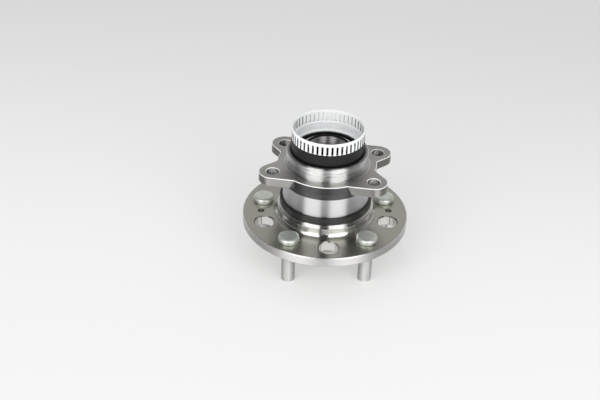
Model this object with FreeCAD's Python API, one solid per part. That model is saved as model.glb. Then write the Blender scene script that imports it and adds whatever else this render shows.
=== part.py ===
"""Wheel hub bearing unit: a flanged outer ring that bolts to the suspension, and a wheel hub that turns in it.

The Z axis is the turning axis. Z = 0 is the face that the brake disc and wheel bolt against, and +Z points
inboard, so the unit stands on the tips of its wheel studs. The X axis runs along the wide spacing of the
outer ring's four bolt holes. All sizes are in millimetres.

Two rows of balls roll between the rings. Each row's contact lines lean outwards, so the outer ring has its high
shoulders in the middle, and the hub and the inner ring have theirs at the ends.
"""

import FreeCAD
import Part

import math
import os

# Wheel hub: flange and its holes
FLANGE_THICKNESS = 9.5
FLANGE_RIM = 16.25
FLANGE_INBOARD_CHAMFER = 0.6
FLANGE_OUTBOARD_CHAMFER = 1.5
WHEEL_CIRCLE_RADIUS = 57.15
STUD_COUNT = 5
HUB_TURN = 11.4
ACCESS_HOLE_RADIUS = 8.5
ACCESS_HOLE_CHAMFER = 0.8
SCREW_HOLE_RADIUS = 2.5
SCREW_HOLE_CHAMFER = 0.55
SCREW_HOLE_COUNT = 2
SPOT_FACE_CLEARANCE = 0.3
TOOL_OVERRUN = 1.0

# Wheel hub: pilots and hollow on the wheel side
WHEEL_PILOT_RADIUS = 33.5
WHEEL_PILOT_LENGTH = 8.0
DISC_PILOT_STEP = 1.0
DISC_PILOT_LENGTH = 6.0
PILOT_CHAMFER = 1.6
PILOT_WALL = 6.0
RECESS_WAIST_INSET = 4.0
RECESS_WAIST_HEIGHT = 2.0
RECESS_FLOOR_RADIUS = 13.0
RECESS_FLOOR_HEIGHT = 13.0
RECESS_ROUNDING = 4.0
FACE_RELIEF_WIDTH = 9.5
FACE_RELIEF_DEPTH = 0.8

# Wheel hub: shoulder behind the flange, and the faces that the outboard seal runs on
SHOULDER_HEIGHT = 9.0
SHOULDER_STEP = 2.0
SHOULDER_FILLET = 4.5
SEAL_STEP_INSET = 0.2
SEAL_STEP_HEIGHT = 1.7
SEAL_LAND_RISE = 3.4
SEAL_LAND_FILLET = 3.0
SEAL_LAND_SETBACK = 0.6
SEAL_SPACE = 6.3

# Wheel studs
STUD_THREAD_RADIUS = 6.0
STUD_SHANK_STEP = 0.3
STUD_HEAD_RADIUS = 9.25
STUD_HEAD_HEIGHT = 5.1
STUD_HEAD_CHAMFER = 0.9
STUD_REACH = 32.4
STUD_TIP_TAPER = 1.6

# Ball rows and raceways
BALL_COUNT = 13
BALL_GAP = 1.428
CONTACT_ANGLE = 38.0
ROW_SPACING = 23.0
INNER_GROOVE_SHARE = 1.04
OUTER_GROOVE_SHARE = 1.06
RUNNING_CLEARANCE = 0.03
INNER_SHOULDER_DROP = 1.6
OUTER_SHOULDER_RISE = 3.1

# Ball cages
CAGE_INNER_GAP = 0.4
CAGE_OUTER_GAP = 0.6
CAGE_SEAL_GAP = 0.6
CAGE_POCKET_CLEARANCE = 0.12
CAGE_RIM = 1.0
CAGE_MOUTH_SHARE = 0.77

# Outer ring
PILOT_RADIUS = 36.0
PILOT_WALL_THICKNESS = 3.2
OUTBOARD_STEP = 2.0
SEAL_BORE_STEP = 0.95
SEAL_SEAT_MARGIN = 0.9
EAR_SETBACK = 25.2
EAR_THICKNESS = 8.7
EAR_SHELF = 5.3
EAR_REACH = 6.05
EAR_ANGLE = 30.4
EAR_TAPER = 1.0
EAR_LOBE_RADIUS = 11.8
EAR_SIDE_LEAN = 43.0
EAR_ROOT_FILLET = 4.0
EAR_HOLE_RADIUS = 5.25
EAR_HOLE_CHAMFER = 0.8
EAR_INBOARD_CHAMFER = 0.5
EAR_OUTBOARD_CHAMFER = 1.0
NECK_LENGTH = 6.7
NECK_STEP = 0.6
PILOT_LENGTH = 4.4
LEAD_STEP = 0.3
LEAD_CHAMFER = 1.0
RELIEF_WIDTH = 1.2
RELIEF_DEPTH = 0.6
FACE_UNDERCUT = 0.4
PILOT_GROOVE_WIDTH = 0.8
EDGE_BREAK = 0.5

# Inner ring and the spindle end that is rolled over it
INNER_RING_WALL = 2.0
INNER_RING_PROUD = 0.6
INNER_RING_CHAMFER = 0.8
COLLAR_OVERLAP = 2.6
COLLAR_HEIGHT = 3.0
COLLAR_BULGE = 0.7
SPINDLE_RIM = 2.2
SPINDLE_RECESS_SLOPE = 3.0
SPINDLE_RECESS_DEPTH = 11.0
SPINDLE_RECESS_ROUNDING = 2.5
CENTRE_DRILL_RADIUS = 3.2
CENTRE_DRILL_DEPTH = 3.0

# Seals: pressed steel cases, rubber lips and the slinger
SHEET = 0.8
RUBBER_SKIN = 0.5
LIP_CLEARANCE = 0.06
LIP_EDGE = 0.6
LIP_BACK = 0.9
LIP_REACH = 1.4
LIP_ROOT = 1.7
FACE_LIP_INSET = 1.2
FACE_LIP_SPREAD = 2.0
FACE_LIP_ROOT = 1.4
FACE_LIP_EDGE = 0.6
OUTBOARD_SEAL_DEPTH = 4.7
OUTBOARD_CASE_REACH = 3.0
OUTBOARD_CASE_FLANGE = 1.2
SKIRT_PROUD = 2.7
SKIRT_THICKNESS = 2.4
SKIRT_GAP = 0.3
SKIRT_CHAMFER = 0.7
SKIRT_COLLAR = 0.5
SKIRT_FIT = 0.05
INBOARD_SEAL_DEPTH = 4.6
INBOARD_CASE_REACH = 4.4
INBOARD_CASE_INSET = 1.2
INBOARD_BEAD_HEIGHT = 0.7
SLINGER_INSET = 0.6
SLINGER_LENGTH = 3.0
SLINGER_GAP = 1.0
INBOARD_FACE_LIP_EDGE = 0.4
INBOARD_FACE_LIP_SPREAD = 0.9

# Wheel-speed tone ring, and the moulded carrier that holds it
TONE_RING_WALL = 1.1
TONE_RING_TEETH = 47
TONE_RING_TURN = 6.7
SLOT_WIDTH = 2.0
SLOT_HEIGHT = 8.0
SLOT_TOP_RIM = 2.5
TONE_RING_FOOT = 1.7
TONE_RING_BEND = 1.3
TONE_RING_BREAK = 0.25
CARRIER_GAP = 0.4
CARRIER_PROUD = 0.1
CARRIER_WALL = 0.6
CARRIER_FLOOR = 1.8
CARRIER_HEIGHT = 10.0
CARRIER_RIDGE_GAP = 1.6
CARRIER_RIDGE_WIDTH = 1.4
CARRIER_RIDGE_HEIGHT = 0.6
CARRIER_RIDGE_SLOPE = 0.3

# Balls that fill the raceway which the pilot's wall leaves, each one gap from the next
LEAN = math.radians(CONTACT_ANGLE)
SEAL_BORE_RADIUS = PILOT_RADIUS - PILOT_WALL_THICKNESS
RACEWAY_BORE = SEAL_BORE_RADIUS - SEAL_BORE_STEP
HALF_PITCH = math.sin(math.pi / BALL_COUNT)
BALL_REACH = OUTER_GROOVE_SHARE - (OUTER_GROOVE_SHARE - 1) * math.cos(LEAN)
BALL_CIRCLE_LIMIT = RACEWAY_BORE - RUNNING_CLEARANCE * math.cos(LEAN)
BALL_RADIUS = (BALL_CIRCLE_LIMIT * HALF_PITCH - BALL_GAP / 2) / (1 + BALL_REACH * HALF_PITCH)
BALL_CIRCLE_RADIUS = BALL_CIRCLE_LIMIT - BALL_RADIUS * BALL_REACH

# Raceway curves that follow from the balls
INNER_GROOVE_RADIUS = BALL_RADIUS * INNER_GROOVE_SHARE
OUTER_GROOVE_RADIUS = BALL_RADIUS * OUTER_GROOVE_SHARE
INNER_GROOVE_OFFSET = INNER_GROOVE_RADIUS - BALL_RADIUS - RUNNING_CLEARANCE
OUTER_GROOVE_OFFSET = OUTER_GROOVE_RADIUS - BALL_RADIUS - RUNNING_CLEARANCE
OUTER_GROOVE_CIRCLE = RACEWAY_BORE - OUTER_GROOVE_RADIUS
INNER_GROOVE_CIRCLE = BALL_CIRCLE_RADIUS + INNER_GROOVE_OFFSET * math.cos(LEAN)
RACEWAY_FLOOR = INNER_GROOVE_CIRCLE - INNER_GROOVE_RADIUS

# Radii that follow
FLANGE_RADIUS = WHEEL_CIRCLE_RADIUS + FLANGE_RIM
INNER_SHOULDER_RADIUS = BALL_CIRCLE_RADIUS - INNER_SHOULDER_DROP
MIDDLE_BORE = BALL_CIRCLE_RADIUS + OUTER_SHOULDER_RISE
CAGE_INNER_RADIUS = INNER_SHOULDER_RADIUS + CAGE_INNER_GAP
CAGE_OUTER_RADIUS = MIDDLE_BORE - CAGE_OUTER_GAP
SPINDLE_SEAT_RADIUS = RACEWAY_FLOOR - INNER_RING_WALL
SEAL_LAND_RADIUS = INNER_SHOULDER_RADIUS + SEAL_LAND_RISE
CASE_INSIDE_RADIUS = SEAL_BORE_RADIUS - SHEET
OUTBOARD_RADIUS = PILOT_RADIUS + OUTBOARD_STEP
EAR_BODY_RADIUS = OUTBOARD_RADIUS + EAR_SHELF
EAR_HOLE_X = (EAR_BODY_RADIUS + EAR_REACH) * math.cos(math.radians(EAR_ANGLE))
EAR_HOLE_Y = (EAR_BODY_RADIUS + EAR_REACH) * math.sin(math.radians(EAR_ANGLE))
SKIRT_RADIUS = OUTBOARD_RADIUS + SKIRT_PROUD
SEAL_STEP_RADIUS = SKIRT_RADIUS - SEAL_STEP_INSET
SHOULDER_RADIUS = SEAL_STEP_RADIUS + SHOULDER_STEP
STUD_SHANK_RADIUS = STUD_THREAD_RADIUS + STUD_SHANK_STEP
SLINGER_RADIUS = CASE_INSIDE_RADIUS - SLINGER_GAP
CARRIER_RADIUS = CASE_INSIDE_RADIUS - CARRIER_GAP
TONE_RING_RADIUS = CARRIER_RADIUS - CARRIER_PROUD
CARRIER_SEAT_RADIUS = CARRIER_RADIUS - CARRIER_WALL

# Heights that follow, from the wheel face inboard
SHOULDER_TOP = FLANGE_THICKNESS + SHOULDER_HEIGHT
SEAL_STEP_TOP = SHOULDER_TOP + SEAL_STEP_HEIGHT
RING_START = SEAL_STEP_TOP + SEAL_SPACE
OUTBOARD_CASE_TOP = RING_START + OUTBOARD_SEAL_DEPTH
CAGE_REACH = BALL_RADIUS + CAGE_POCKET_CLEARANCE + CAGE_RIM
OUTBOARD_ROW = OUTBOARD_CASE_TOP + CAGE_SEAL_GAP + CAGE_REACH
INBOARD_ROW = OUTBOARD_ROW + ROW_SPACING
RING_MEETING = (OUTBOARD_ROW + INBOARD_ROW) / 2
INBOARD_CASE_START = INBOARD_ROW + CAGE_REACH + CAGE_SEAL_GAP
RING_END = INBOARD_CASE_START + INBOARD_SEAL_DEPTH
INBOARD_CASE_END = RING_END - INBOARD_CASE_INSET
EAR_UNDERSIDE = RING_START + EAR_SETBACK
EAR_TOP = EAR_UNDERSIDE + EAR_THICKNESS
INNER_RING_END = RING_END + INNER_RING_PROUD
SLINGER_TOP = RING_END - SLINGER_INSET
CARRIER_FLOOR_TOP = SLINGER_TOP + CARRIER_FLOOR
SLOT_BOTTOM = CARRIER_FLOOR_TOP + CARRIER_HEIGHT
TONE_RING_TOP = SLOT_BOTTOM + SLOT_HEIGHT + SLOT_TOP_RIM
ROW_HEIGHTS = {"outboard": OUTBOARD_ROW, "inboard": INBOARD_ROW}

ORIGIN = FreeCAD.Vector(0, 0, 0)
AXIS = FreeCAD.Vector(0, 0, 1)


def xz(r, z):
    """A point of a half section, at radius r and height z."""
    return FreeCAD.Vector(r, 0, z)


def via(r, z):
    """Marks that the edge between two corners is an arc through this point."""
    return ("via", r, z)


def rounded_corner(before, corner, after, rounding):
    """Start, middle and end of the tangent arc that rounds one corner."""
    to_before = (before - corner).normalize()
    to_after = (after - corner).normalize()
    half = to_before.getAngle(to_after) / 2
    reach = rounding / math.tan(half)
    bisector = (to_before + to_after).normalize()
    middle = corner + bisector * (rounding / math.sin(half) - rounding)
    return corner + to_before * reach, middle, corner + to_after * reach


def face_of(steps):
    """The closed face of a half section. A corner is (r, z), or (r, z, rounding)."""
    corners = [step for step in steps if step[0] != "via"]
    points = [xz(corner[0], corner[1]) for corner in corners]
    count = len(corners)
    starts, middles, ends = [], [], []
    for i, corner in enumerate(corners):
        start, middle, end = points[i], None, points[i]
        if len(corner) == 3:
            start, middle, end = rounded_corner(points[i - 1], points[i], points[(i + 1) % count], corner[2])
        starts.append(start)
        middles.append(middle)
        ends.append(end)
    arcs = {}
    last = -1
    for step in steps:
        if step[0] == "via":
            arcs[last] = xz(step[1], step[2])
        else:
            last += 1
    edges = []
    for i in range(count):
        if middles[i] is not None:
            edges.append(Part.Arc(starts[i], middles[i], ends[i]).toShape())
        leave, arrive = ends[i], starts[(i + 1) % count]
        if i in arcs:
            edges.append(Part.Arc(leave, arcs[i], arrive).toShape())
        else:
            edges.append(Part.LineSegment(leave, arrive).toShape())
    return Part.Face(Part.Wire(edges))


def turned(*steps):
    """The solid that a half section sweeps round the axis."""
    return face_of(steps).revolve(ORIGIN, AXIS, 360)


def on_circle(shape, radius, angle):
    """A copy of the shape at that radius, turned by an angle from the front (-Y) towards +X."""
    placed = shape.copy()
    placed.translate(FreeCAD.Vector(0, -radius, 0))
    placed.rotate(ORIGIN, AXIS, angle)
    return placed


def through_hole(radius, chamfer, bottom, top):
    """The tool that drills a hole from bottom to top and breaks both its edges."""
    wide = radius + chamfer + TOOL_OVERRUN
    return turned(
        (0, bottom - TOOL_OVERRUN),
        (wide, bottom - TOOL_OVERRUN),
        (radius, bottom + chamfer),
        (radius, top - chamfer),
        (wide, top + TOOL_OVERRUN),
        (0, top + TOOL_OVERRUN),
    )


def groove_edge(circle, height, groove_radius, radius, side):
    """Height at which a raceway curve, centred at that circle and height, reaches a given radius."""
    return height + side * math.sqrt(groove_radius**2 - (radius - circle) ** 2)


def groove_via(circle, height, groove_radius, radius, side):
    """The middle of the raceway curve between its deepest point and its edge at that radius."""
    radial = math.copysign(1, radius - circle)
    half = math.acos(abs(radius - circle) / groove_radius) / 2
    return via(circle + radial * groove_radius * math.cos(half), height + side * groove_radius * math.sin(half))


def wheel_hub():
    """Flange, pilots, shoulder and spindle in one forging, with the outboard raceway ground into it."""
    groove = OUTBOARD_ROW + INNER_GROOVE_OFFSET * math.sin(LEAN)
    groove_start = groove_edge(INNER_GROOVE_CIRCLE, groove, INNER_GROOVE_RADIUS, INNER_SHOULDER_RADIUS, -1)
    disc_pilot_radius = WHEEL_PILOT_RADIUS + DISC_PILOT_STEP
    relief_radius = disc_pilot_radius + FACE_RELIEF_WIDTH
    disc_pilot_end = -DISC_PILOT_LENGTH
    pilot_end = disc_pilot_end - WHEEL_PILOT_LENGTH
    mouth = WHEEL_PILOT_RADIUS - PILOT_WALL
    waist = mouth - RECESS_WAIST_INSET
    land_end = OUTBOARD_CASE_TOP - SEAL_LAND_SETBACK
    collar_radius = SPINDLE_SEAT_RADIUS + COLLAR_OVERLAP
    collar_top = INNER_RING_END + COLLAR_HEIGHT
    rim = SPINDLE_SEAT_RADIUS - SPINDLE_RIM
    recess_floor = collar_top - SPINDLE_RECESS_DEPTH
    body = turned(
        (0, RECESS_FLOOR_HEIGHT),
        (RECESS_FLOOR_RADIUS, RECESS_FLOOR_HEIGHT, RECESS_ROUNDING),
        (waist, RECESS_WAIST_HEIGHT, RECESS_ROUNDING),
        (mouth, pilot_end),
        (WHEEL_PILOT_RADIUS - PILOT_CHAMFER, pilot_end),
        (WHEEL_PILOT_RADIUS, pilot_end + PILOT_CHAMFER),
        (WHEEL_PILOT_RADIUS, disc_pilot_end - EDGE_BREAK),
        (disc_pilot_radius - EDGE_BREAK, disc_pilot_end - EDGE_BREAK),
        (disc_pilot_radius, disc_pilot_end),
        (disc_pilot_radius, FACE_RELIEF_DEPTH, FACE_RELIEF_DEPTH / 2),
        (relief_radius, FACE_RELIEF_DEPTH),
        (relief_radius + FACE_RELIEF_DEPTH, 0),
        (FLANGE_RADIUS - FLANGE_OUTBOARD_CHAMFER, 0),
        (FLANGE_RADIUS, FLANGE_OUTBOARD_CHAMFER),
        (FLANGE_RADIUS, FLANGE_THICKNESS - FLANGE_INBOARD_CHAMFER),
        (FLANGE_RADIUS - FLANGE_INBOARD_CHAMFER, FLANGE_THICKNESS),
        (SHOULDER_RADIUS, FLANGE_THICKNESS, SHOULDER_FILLET),
        (SHOULDER_RADIUS, SHOULDER_TOP - EDGE_BREAK),
        (SHOULDER_RADIUS - EDGE_BREAK, SHOULDER_TOP),
        (SEAL_STEP_RADIUS, SHOULDER_TOP),
        (SEAL_STEP_RADIUS, SEAL_STEP_TOP - EDGE_BREAK),
        (SEAL_STEP_RADIUS - EDGE_BREAK, SEAL_STEP_TOP),
        (SEAL_LAND_RADIUS, SEAL_STEP_TOP, SEAL_LAND_FILLET),
        (SEAL_LAND_RADIUS, land_end - EDGE_BREAK),
        (SEAL_LAND_RADIUS - EDGE_BREAK, land_end),
        (INNER_SHOULDER_RADIUS, land_end),
        (INNER_SHOULDER_RADIUS, groove_start),
        groove_via(INNER_GROOVE_CIRCLE, groove, INNER_GROOVE_RADIUS, INNER_SHOULDER_RADIUS, -1),
        (RACEWAY_FLOOR, groove),
        (RACEWAY_FLOOR, RING_MEETING),
        (SPINDLE_SEAT_RADIUS, RING_MEETING),
        (SPINDLE_SEAT_RADIUS, INNER_RING_END),
        (collar_radius, INNER_RING_END),
        via((collar_radius + rim) / 2 + COLLAR_BULGE * 2, collar_top - COLLAR_BULGE),
        (rim + COLLAR_BULGE * 2, collar_top),
        (rim, collar_top - COLLAR_BULGE),
        (rim - SPINDLE_RECESS_SLOPE, recess_floor, SPINDLE_RECESS_ROUNDING),
        (CENTRE_DRILL_RADIUS, recess_floor),
        (0, recess_floor - CENTRE_DRILL_DEPTH),
    )
    shank_hole = Part.makeCylinder(STUD_SHANK_RADIUS, FLANGE_THICKNESS + TOOL_OVERRUN, xz(0, -TOOL_OVERRUN))
    spot_radius = STUD_HEAD_RADIUS + SPOT_FACE_CLEARANCE
    spot_face = Part.makeCylinder(spot_radius, SHOULDER_HEIGHT + SEAL_STEP_HEIGHT, xz(0, FLANGE_THICKNESS))
    stud_hole = shank_hole.fuse(spot_face)
    access_hole = through_hole(ACCESS_HOLE_RADIUS, ACCESS_HOLE_CHAMFER, 0, FLANGE_THICKNESS)
    screw_hole = through_hole(SCREW_HOLE_RADIUS, SCREW_HOLE_CHAMFER, 0, FLANGE_THICKNESS)
    pitch = 360 / STUD_COUNT
    tools = []
    for i in range(STUD_COUNT):
        tools.append(on_circle(access_hole, WHEEL_CIRCLE_RADIUS, HUB_TURN + i * pitch))
        tools.append(on_circle(stud_hole, WHEEL_CIRCLE_RADIUS, HUB_TURN + (i + 0.5) * pitch))
    for i in range(SCREW_HOLE_COUNT):
        tools.append(on_circle(screw_hole, WHEEL_CIRCLE_RADIUS, HUB_TURN + 90 + i * 360 / SCREW_HOLE_COUNT))
    return body.cut(tools)


def wheel_stud():
    """Press-in stud: round head on the inboard face, shank through the flange, thread out of the wheel face."""
    head_top = FLANGE_THICKNESS + STUD_HEAD_HEIGHT
    return turned(
        (0, -STUD_REACH),
        (STUD_THREAD_RADIUS - STUD_TIP_TAPER, -STUD_REACH),
        (STUD_THREAD_RADIUS, STUD_TIP_TAPER - STUD_REACH),
        (STUD_THREAD_RADIUS, 0),
        (STUD_SHANK_RADIUS, 0),
        (STUD_SHANK_RADIUS, FLANGE_THICKNESS),
        (STUD_HEAD_RADIUS - EDGE_BREAK, FLANGE_THICKNESS),
        (STUD_HEAD_RADIUS, FLANGE_THICKNESS + EDGE_BREAK),
        (STUD_HEAD_RADIUS, head_top - STUD_HEAD_CHAMFER),
        (STUD_HEAD_RADIUS - STUD_HEAD_CHAMFER, head_top),
        (0, head_top),
    )


def inner_ring():
    """Ring pressed on the spindle, with the inboard raceway and its high shoulder at the inboard end."""
    groove = INBOARD_ROW - INNER_GROOVE_OFFSET * math.sin(LEAN)
    groove_end = groove_edge(INNER_GROOVE_CIRCLE, groove, INNER_GROOVE_RADIUS, INNER_SHOULDER_RADIUS, 1)
    return turned(
        (SPINDLE_SEAT_RADIUS, RING_MEETING),
        (RACEWAY_FLOOR - EDGE_BREAK, RING_MEETING),
        (RACEWAY_FLOOR, RING_MEETING + EDGE_BREAK),
        (RACEWAY_FLOOR, groove),
        groove_via(INNER_GROOVE_CIRCLE, groove, INNER_GROOVE_RADIUS, INNER_SHOULDER_RADIUS, 1),
        (INNER_SHOULDER_RADIUS, groove_end),
        (INNER_SHOULDER_RADIUS, INNER_RING_END - INNER_RING_CHAMFER),
        (INNER_SHOULDER_RADIUS - INNER_RING_CHAMFER, INNER_RING_END),
        (SPINDLE_SEAT_RADIUS, INNER_RING_END),
    )


def lies_at(edge, height):
    """True for an edge that lies in the plane at that height."""
    box = edge.BoundBox
    return abs(box.ZMin - height) < 1e-4 and abs(box.ZMax - height) < 1e-4


def is_root_edge(edge):
    """True for an upright edge where an ear's side or tangent meets the round body."""
    ends = [vertex.Point for vertex in edge.Vertexes]
    upright = len(ends) == 2 and abs(ends[0].z - ends[1].z) > EAR_THICKNESS / 2
    return upright and abs(math.hypot(ends[0].x, ends[0].y) - EAR_BODY_RADIUS) < 1e-3


def ear_hole_x(sy):
    """How far an ear's bolt hole stands from the middle. The front pair (sy = -1) is wider than the back pair."""
    return EAR_HOLE_X - sy * EAR_TAPER


def ear(sx, sy):
    """One ear: a lobe round its bolt hole, a straight edge along X, and a side that leans in to the body."""
    lean = math.radians(EAR_SIDE_LEAN)
    hole_x = ear_hole_x(sy)
    side_x = hole_x + EAR_LOBE_RADIUS * math.cos(lean)
    side_y = EAR_HOLE_Y - EAR_LOBE_RADIUS * math.sin(lean)
    root_x = side_x - side_y * math.tan(lean)
    edge_y = EAR_HOLE_Y + EAR_LOBE_RADIUS
    middle = (math.pi / 2 - lean) / 2
    arc_x = hole_x + EAR_LOBE_RADIUS * math.cos(middle)
    arc_y = EAR_HOLE_Y + EAR_LOBE_RADIUS * math.sin(middle)

    def at(x, y):
        return FreeCAD.Vector(sx * x, sy * y, EAR_UNDERSIDE)

    edges = [
        Part.LineSegment(at(0, 0), at(0, edge_y)).toShape(),
        Part.LineSegment(at(0, edge_y), at(hole_x, edge_y)).toShape(),
        Part.Arc(at(hole_x, edge_y), at(arc_x, arc_y), at(side_x, side_y)).toShape(),
        Part.LineSegment(at(side_x, side_y), at(root_x, 0)).toShape(),
        Part.LineSegment(at(root_x, 0), at(0, 0)).toShape(),
    ]
    return Part.Face(Part.Wire(edges)).extrude(AXIS * EAR_THICKNESS)


def ear_plate():
    """The round body of the mounting flange with its four ears and broken edges, drilled."""
    plate = Part.makeCylinder(EAR_BODY_RADIUS, EAR_THICKNESS, xz(0, EAR_UNDERSIDE))
    plate = plate.fuse([ear(sx, sy) for sx in (-1, 1) for sy in (-1, 1)]).removeSplitter()
    plate = plate.makeFillet(EAR_ROOT_FILLET, [edge for edge in plate.Edges if is_root_edge(edge)])
    for height, chamfer in ((EAR_TOP, EAR_INBOARD_CHAMFER), (EAR_UNDERSIDE, EAR_OUTBOARD_CHAMFER)):
        plate = plate.makeChamfer(chamfer, [edge for edge in plate.Edges if lies_at(edge, height)])
    hole = through_hole(EAR_HOLE_RADIUS, EAR_HOLE_CHAMFER, EAR_UNDERSIDE, EAR_TOP)
    tools = []
    for sx in (-1, 1):
        for sy in (-1, 1):
            drill = hole.copy()
            drill.translate(FreeCAD.Vector(sx * ear_hole_x(sy), sy * EAR_HOLE_Y, 0))
            tools.append(drill)
    return plate.cut(tools)


def outer_ring():
    """Stationary ring: four-eared flange on a forged neck, a ground band on each side and both outer raceways."""
    outboard = OUTBOARD_ROW - OUTER_GROOVE_OFFSET * math.sin(LEAN)
    inboard = INBOARD_ROW + OUTER_GROOVE_OFFSET * math.sin(LEAN)
    neck_start = EAR_UNDERSIDE - NECK_LENGTH
    neck_radius = EAR_BODY_RADIUS - EAR_OUTBOARD_CHAMFER
    pilot_relief = PILOT_RADIUS - RELIEF_DEPTH
    pilot_start = EAR_TOP + RELIEF_WIDTH
    pilot_end = pilot_start + PILOT_LENGTH
    lead_start = pilot_end + PILOT_GROOVE_WIDTH
    lead_radius = PILOT_RADIUS - LEAD_STEP
    outboard_seat = OUTBOARD_CASE_TOP + SEAL_SEAT_MARGIN
    inboard_seat = INBOARD_CASE_START - SEAL_SEAT_MARGIN
    tube = turned(
        (SEAL_BORE_RADIUS + EDGE_BREAK, RING_START),
        (OUTBOARD_RADIUS - EDGE_BREAK, RING_START),
        (OUTBOARD_RADIUS, RING_START + EDGE_BREAK),
        (OUTBOARD_RADIUS, neck_start),
        (OUTBOARD_RADIUS + NECK_STEP, neck_start),
        (neck_radius, EAR_UNDERSIDE),
        (pilot_relief, EAR_UNDERSIDE),
        (pilot_relief, pilot_start),
        (PILOT_RADIUS, pilot_start),
        (PILOT_RADIUS, pilot_end),
        (pilot_relief, pilot_end),
        (pilot_relief, lead_start),
        (lead_radius, lead_start),
        (lead_radius, RING_END - LEAD_CHAMFER),
        (lead_radius - LEAD_CHAMFER, RING_END),
        (SEAL_BORE_RADIUS + EDGE_BREAK, RING_END),
        (SEAL_BORE_RADIUS, RING_END - EDGE_BREAK),
        (SEAL_BORE_RADIUS, inboard_seat),
        (RACEWAY_BORE, inboard_seat),
        (RACEWAY_BORE, inboard),
        groove_via(OUTER_GROOVE_CIRCLE, inboard, OUTER_GROOVE_RADIUS, MIDDLE_BORE, -1),
        (MIDDLE_BORE, groove_edge(OUTER_GROOVE_CIRCLE, inboard, OUTER_GROOVE_RADIUS, MIDDLE_BORE, -1)),
        (MIDDLE_BORE, groove_edge(OUTER_GROOVE_CIRCLE, outboard, OUTER_GROOVE_RADIUS, MIDDLE_BORE, 1)),
        groove_via(OUTER_GROOVE_CIRCLE, outboard, OUTER_GROOVE_RADIUS, MIDDLE_BORE, 1),
        (RACEWAY_BORE, outboard),
        (RACEWAY_BORE, outboard_seat),
        (SEAL_BORE_RADIUS, outboard_seat),
        (SEAL_BORE_RADIUS, RING_START + EDGE_BREAK),
    )
    core = Part.makeCylinder(pilot_relief, EAR_THICKNESS, xz(0, EAR_UNDERSIDE))
    undercut = Part.makeCylinder(PILOT_RADIUS + FACE_UNDERCUT, FACE_UNDERCUT, xz(0, EAR_TOP - FACE_UNDERCUT))
    return tube.fuse(ear_plate().cut([core, undercut])).removeSplitter()


def ball_place(row, index):
    """Centre of one ball. The two rows are staggered by half a pitch."""
    stagger = 0.5 if row == "inboard" else 0
    angle = math.radians((index + stagger) * 360 / BALL_COUNT)
    x = BALL_CIRCLE_RADIUS * math.cos(angle)
    y = BALL_CIRCLE_RADIUS * math.sin(angle)
    return FreeCAD.Vector(x, y, ROW_HEIGHTS[row])


def ball(row, index, clearance=0.0):
    """One ball, or with a clearance the pocket that it sits in."""
    shape = Part.makeSphere(BALL_RADIUS + clearance)
    shape.translate(ball_place(row, index))
    return shape


def cage(row, side):
    """Snap-in cage: a solid rim at the outer end, and pockets that open towards the other row."""
    rim = ROW_HEIGHTS[row] + side * CAGE_REACH
    mouth = ROW_HEIGHTS[row] - side * BALL_RADIUS * CAGE_MOUTH_SHARE
    ring = turned(
        (CAGE_INNER_RADIUS, rim),
        (CAGE_OUTER_RADIUS, rim),
        (CAGE_OUTER_RADIUS, mouth),
        (CAGE_INNER_RADIUS, mouth),
    )
    return ring.cut([ball(row, index, CAGE_POCKET_CLEARANCE) for index in range(BALL_COUNT)])


def outboard_seal_case():
    """Pressed steel case: in the outer ring's bore, over its end face, and inwards towards the hub."""
    inner = SEAL_BORE_RADIUS - OUTBOARD_CASE_REACH
    flange = OUTBOARD_RADIUS + OUTBOARD_CASE_FLANGE
    return turned(
        (inner, OUTBOARD_CASE_TOP),
        (SEAL_BORE_RADIUS, OUTBOARD_CASE_TOP),
        (SEAL_BORE_RADIUS, RING_START),
        (flange, RING_START),
        (flange, RING_START - SHEET),
        (CASE_INSIDE_RADIUS, RING_START - SHEET),
        (CASE_INSIDE_RADIUS, OUTBOARD_CASE_TOP - SHEET),
        (inner, OUTBOARD_CASE_TOP - SHEET),
    )


def outboard_seal_lip():
    """Rubber on the case: radial lip on the land, face lip on the hub, and the skirt that shows."""
    case_inner = SEAL_BORE_RADIUS - OUTBOARD_CASE_REACH
    flange = OUTBOARD_RADIUS + OUTBOARD_CASE_FLANGE
    case_floor = OUTBOARD_CASE_TOP - SHEET
    skin = RING_START - SHEET - RUBBER_SKIN
    inner = CASE_INSIDE_RADIUS - RUBBER_SKIN
    root = case_floor - LIP_BACK
    tip = SEAL_LAND_RADIUS + LIP_CLEARANCE
    face = SEAL_STEP_TOP + LIP_CLEARANCE
    skirt_inner = SKIRT_RADIUS - SKIRT_THICKNESS
    skirt_bottom = SEAL_STEP_TOP + SKIRT_GAP
    fit = OUTBOARD_RADIUS + SKIRT_FIT
    return turned(
        (case_inner, OUTBOARD_CASE_TOP - SHEET / 4),
        (tip + LIP_BACK, OUTBOARD_CASE_TOP - SHEET / 2),
        (tip, root - LIP_REACH),
        (tip, root - LIP_REACH - LIP_EDGE),
        (tip + LIP_BACK, root - LIP_REACH),
        (tip + LIP_ROOT, root),
        (inner, root),
        (inner, skin),
        (inner + FACE_LIP_INSET, skin),
        (inner + FACE_LIP_INSET + FACE_LIP_SPREAD, face),
        (inner + FACE_LIP_INSET + FACE_LIP_SPREAD + FACE_LIP_EDGE, face),
        (inner + FACE_LIP_INSET + FACE_LIP_ROOT, skin),
        (skirt_inner, skin),
        (skirt_inner, skirt_bottom),
        (SKIRT_RADIUS - SKIRT_CHAMFER, skirt_bottom),
        (SKIRT_RADIUS, skirt_bottom + SKIRT_CHAMFER),
        (SKIRT_RADIUS, RING_START + SKIRT_COLLAR, SKIRT_COLLAR),
        (fit, RING_START + SKIRT_COLLAR),
        (fit, RING_START),
        (flange, RING_START),
        (flange, RING_START - SHEET),
        (CASE_INSIDE_RADIUS, RING_START - SHEET),
        (CASE_INSIDE_RADIUS, case_floor),
        (case_inner, case_floor),
    )


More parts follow.
